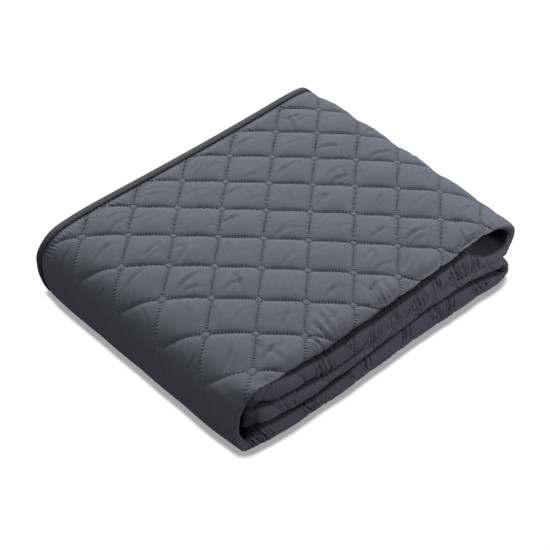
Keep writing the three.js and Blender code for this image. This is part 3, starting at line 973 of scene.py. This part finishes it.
class Shader:
    # the nodes of a material, or of the world

    def __init__(self, owner):
        owner.use_nodes = True
        self.owner = owner
        self.tree = owner.node_tree

    def node(self, kind, settings=None, inputs=None, output=0):
        made = self.tree.nodes.new("ShaderNode" + kind)
        for name, value in (settings or {}).items():
            setattr(made, name, value)
        for name, value in (inputs or {}).items():
            self.feed(made.inputs[name], value)
        return Field(self, made.outputs[output])

    def feed(self, socket, value):
        if isinstance(value, Field):
            self.tree.links.new(value.socket, socket)
        else:
            socket.default_value = value

    def math(self, operation, *values):
        return self.node("Math", {"operation": operation}, dict(enumerate(values)))

    def ramp(self, value, low, high, start=0.0, end=1.0):
        settings = {"interpolation_type": "SMOOTHSTEP"}
        inputs = {"Value": value, "From Min": low, "From Max": high, "To Min": start, "To Max": end}
        return self.node("MapRange", settings, inputs)

    def layered(self, look, layers):
        # a look's base colour, with its other colours over it by their shares
        colour = look["base"]
        for share, name in layers:
            colour = self.node("Mix", {"data_type": "RGBA"}, {0: share, 6: colour, 7: look[name]}, 2)
        return colour

    def finish(self, height, inputs):
        # the surface's bump and its other inputs
        bump = self.node("Bump", None, {"Strength": 1.0, "Distance": mm, "Height": height})
        for name, value in {**inputs, "Normal": bump}.items():
            self.feed(self.tree.nodes["Principled BSDF"].inputs[name], value)
        return self.owner

    def seenApart(self, output, forCamera, forLight):
        # the camera sees one shader, and the other lights the scene
        seen = self.node("LightPath", None, None, "Is Camera Ray")
        mix = self.node("MixShader", None, {0: seen, 1: forLight, 2: forCamera})
        self.feed(self.tree.nodes[output].inputs["Surface"], mix)
        return self.owner

    def uvPlaces(self, name):
        # the two coordinates of a UV map
        parts = self.node("SeparateXYZ", None, {0: self.node("UVMap", {"uv_map": name})})
        return parts, Field(self, parts.socket.node.outputs[1])

    def noise(self, vector, scale, detail=2.0, rough=0.5):
        inputs = {"Vector": vector, "Scale": scale, "Detail": detail, "Roughness": rough}
        return self.node("TexNoise", None, inputs)


clothLook = {
    "base": (0.092, 0.0965, 0.1135, 1),
    "deep": (0.042, 0.042, 0.054, 1),
    "worn": (0.112, 0.1175, 0.138, 1),
    "hole": (0.012, 0.012, 0.018, 1),
    # the near-black colour of the painted shade in the creases between the folds
    "crease": (0.008, 0.008, 0.011, 1),
    "roughness": 0.86,
    "roughnessSpread": 0.05,
    "sheen": 0.25,
    "sheenRoughness": 0.45,
    "sheenTint": (0.62, 0.66, 0.78, 1),
    "specular": 0.25,
    "stitch": 3.5,                # from hole to hole, in mm
    "seamReach": 4.2,             # how far from a seam its stitches show
}
# How deep each of the cloth's small features is, in mm.
clothBump = {"ladder": 0.3, "hole": 0.6, "seam": 0.4, "valley": 0.55, "weave": 0.05, "nap": 0.10}


def clothMaterial():
    s = Shader(bpy.data.materials.new("microfibre"))
    along, across = s.uvPlaces("quilting")
    # the painted crease shade, and how plainly the stitches show
    hidden, show = s.uvPlaces("shades")
    straightU = along + across
    straightV = along - across
    turn = 2 * math.pi
    u = straightU + s.math("SINE", straightV * turn) * quilt["wave"]
    v = straightV + s.math("SINE", straightU * turn) * quilt["wave"]
    du = s.math("ABSOLUTE", u - s.math("ROUND", u)) * quilt["cellSide"]
    dv = s.math("ABSOLUTE", v - s.math("ROUND", v)) * quilt["cellSide"]
    fromCrossing = s.math("SQRT", du * du + dv * dv)
    radius = quilt["tuftRadius"]
    outside = s.math("GREATER_THAN", fromCrossing, radius)
    ring = s.math("ABSOLUTE", fromCrossing - radius)
    seam = s.math("MINIMUM", du, dv)
    distance = s.math("MINIMUM", ring * 1.5 + 0.3, seam + 40 * (1 - outside))
    # the stitch holes lie along whichever seam is nearer, and round each tuft
    isU = s.math("LESS_THAN", du, dv)
    travel = (v * isU + u * (1 - isU)) * (quilt["cellSide"] / clothLook["stitch"])
    roundTuft = s.math("ARCTAN2", dv, du) * (radius / clothLook["stitch"] * 1.6)
    travel = travel * outside + roundTuft * (1 - outside)
    beat = s.math("COSINE", travel * turn)
    nearSeam = s.ramp(distance, 0.2, 1.5, 1, 0) * show
    valley = s.ramp(distance, 0.3, clothLook["seamReach"], 1, 0) * show
    hole = s.ramp(beat, 0.1, 0.8) * s.ramp(distance, 0.3, 1.1, 1, 0) * show
    ladder = beat * s.ramp(distance, 0.4, clothLook["seamReach"], 1, 0) * outside * show
    bars = s.ramp(beat, 0.0, 0.7) * s.ramp(distance, 0.8, 2.6, 1, 0) * outside * show
    place = s.node("TexCoord", None, None, "Object")
    weave = s.noise(place, 900, 3, 0.65)
    nap = s.noise(place, 140, 3, 0.6)
    broad = s.noise(place, 22, 2, 0.5)
    colour = s.layered(clothLook, [
        (s.ramp(broad, 0.35, 0.65) * 0.35, "worn"),
        (s.ramp(nap, 0.3, 0.7) * 0.08, "deep"),
        # painted shade: the grooves along the seams and the dips at each stitch are darkened in the colour
        (valley * 0.14, "deep"),
        (bars * 0.26, "deep"),
        (hole * 0.75, "hole"),
        # painted shade: the creases between the folds are darkened towards near-black
        (s.ramp(hidden, 0.05, 0.8) * 0.88, "crease"),
    ])
    middle, spread = clothLook["roughness"], clothLook["roughnessSpread"]
    height = weave * clothBump["weave"] + nap * clothBump["nap"] - ladder * clothBump["ladder"]
    height = height - hole * clothBump["hole"] - nearSeam * clothBump["seam"] - valley * clothBump["valley"]
    return s.finish(height, {
        "Base Color": colour,
        "Roughness": s.ramp(nap, 0.3, 0.7, middle - spread, middle + spread),
        "Sheen Weight": clothLook["sheen"],
        "Sheen Roughness": clothLook["sheenRoughness"],
        "Sheen Tint": clothLook["sheenTint"],
        "Specular IOR Level": clothLook["specular"],
    })


tapeLook = {
    "base": (0.050, 0.051, 0.060, 1),
    "dark": (0.030, 0.030, 0.037, 1),
    "hole": (0.010, 0.010, 0.013, 1),
    "roughness": 0.72,
    "specular": 0.3,
    "seam": 0.06,                 # how far in from its lips it is sewn, as a share of its width
    "lineStep": 0.05,             # between its lines of points, in its UV map
}
tapeBump = {"nap": 0.15, "weave": 0.05, "seam": 0.3, "hole": 0.4}


def tapeMaterial():
    s = Shader(bpy.data.materials.new("binding_tape"))
    place = s.node("TexCoord", None, None, "Object")
    along, across = s.uvPlaces("quilting")
    nap = s.noise(place, 260, 3, 0.6)
    fromLip = s.math("MINIMUM", across, 1 - across)
    seam = s.ramp(s.math("ABSOLUTE", fromLip - tapeLook["seam"]), 0.008, 0.03, 1, 0)
    stitches = tape["step"] / tapeLook["lineStep"] / clothLook["stitch"]
    beat = s.math("COSINE", along * (2 * math.pi * stitches))
    hole = seam * s.ramp(beat, 0, 0.7)
    weave = s.math("SINE", along * (2 * math.pi * 160))
    colour = s.layered(tapeLook, [(s.ramp(nap, 0.3, 0.7) * 0.6, "dark"), (hole * 0.7, "hole")])
    height = nap * tapeBump["nap"] + weave * tapeBump["weave"]
    height = height - seam * tapeBump["seam"] - hole * tapeBump["hole"]
    return s.finish(height, {
        "Base Color": colour, "Roughness": tapeLook["roughness"], "Specular IOR Level": tapeLook["specular"],
    })


view = {
    "camera": (-868.7, -948.5, 1132.2),
    "target": (-65.4, -65.7, 91),
    "lens": 96.87,
    "sensor": 36,
}


def aim(obj, place, target):
    obj.location = Vector(place) * mm
    direction = (Vector(target) - Vector(place)).normalized()
    obj.rotation_euler = direction.to_track_quat("-Z", "Y").to_euler()


def buildCamera():
    camera = putIn("camera", bpy.data.cameras.new("camera"))
    camera.data.lens = view["lens"]
    camera.data.sensor_width = view["sensor"]
    camera.data.clip_end = 50
    aim(camera, view["camera"], view["target"])
    bpy.context.scene.camera = camera


lights = {
    # name: place, target, size, power, colour
    "back": ((2500, 4300, 3700), (0, 0, 60), 2200, 520, (0.98, 1.0, 0.99)),
    "overhead": ((150, -450, 1000), (0, -60, 60), 800, 1.8, (0.98, 1.0, 1.0)),
    "frontFill": ((1300, -1500, 850), (0, -60, 40), 800, 20, (1.0, 0.87, 1.0)),
    "leftFill": ((-2000, -300, 420), (0, 0, 40), 1400, 9.5, (1.0, 0.87, 1.0)),
}


studio = {
    "world": 1.2,                 # as the camera sees it
    "fill": (0.80, 0.84, 1.0, 1),
    "fillStrength": 0.17,
}


def buildLights():
    for name, (place, target, size, power, colour) in lights.items():
        light = bpy.data.lights.new(name, "AREA")
        light.shape = "DISK"
        light.size = size * mm
        light.energy = power
        light.color = colour
        aim(putIn(name, light), place, target)
    s = Shader(bpy.data.worlds.new("studio"))
    white = s.node("Background", None, {"Color": (1, 1, 1, 1), "Strength": studio["world"]})
    dim = s.node("Background", None, {"Color": studio["fill"], "Strength": studio["fillStrength"]})
    bpy.context.scene.world = s.seenApart("World Output", white, dim)


floorLook = {
    "halfSize": 6,                # in metres, as the next
    "drop": 0.0004,
    "bounce": (0.06, 0.06, 0.07, 1),
    "contactReach": 0.011,
    "contactShade": (0.60, 0.94, 0.36, 1.05),    # from this much open sky to that: this dark to that pale
}


def buildFloor():
    bm = bmesh.new()
    bmesh.ops.create_grid(bm, x_segments=1, y_segments=1, size=floorLook["halfSize"])
    floor = finishPiece(bm, "floor")
    floor.location.z = -floorLook["drop"]
    s = Shader(bpy.data.materials.new("pale_floor"))
    # the camera sees it glow pale, with a painted contact shadow: its glow is darkened by ambient occlusion;
    # the cloth gets little light from it
    dull = s.node("BsdfDiffuse", None, {"Color": floorLook["bounce"]})
    contact = s.node("AmbientOcclusion", {"samples": 16}, {"Distance": floorLook["contactReach"]}, "AO")
    glow = s.node("Emission", None, {"Color": s.ramp(contact, *floorLook["contactShade"]), "Strength": 1})
    floor.data.materials.append(s.seenApart("Material Output", glow, dull))


print("stage 1: camera and lights")
buildCamera()
buildLights()
buildFloor()
scene = bpy.context.scene
scene.view_settings.view_transform = "Standard"

print("stage 2: cloth")
cloth = buildCloth()
cloth.data.materials.append(clothMaterial())

print("stage 3: bindings")
tapes = {
    "binding_outer_side": buildSideTape("outer_side_binding", True),
    "binding_inner_side": buildSideTape("inner_side_binding", False),
    "binding_end_upper": buildEndTape("upper_end_binding", -endExtra["upper"], 1),
    "binding_end_lower": buildEndTape("lower_end_binding", pathLength + endExtra["lower"], -1),
}
tapeFinish = tapeMaterial()
for node, piece in tapes.items():
    piece.data.materials.append(tapeFinish)
    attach(piece, "root")
    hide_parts(node)

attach(cloth, "root")
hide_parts("quilted_cloth")
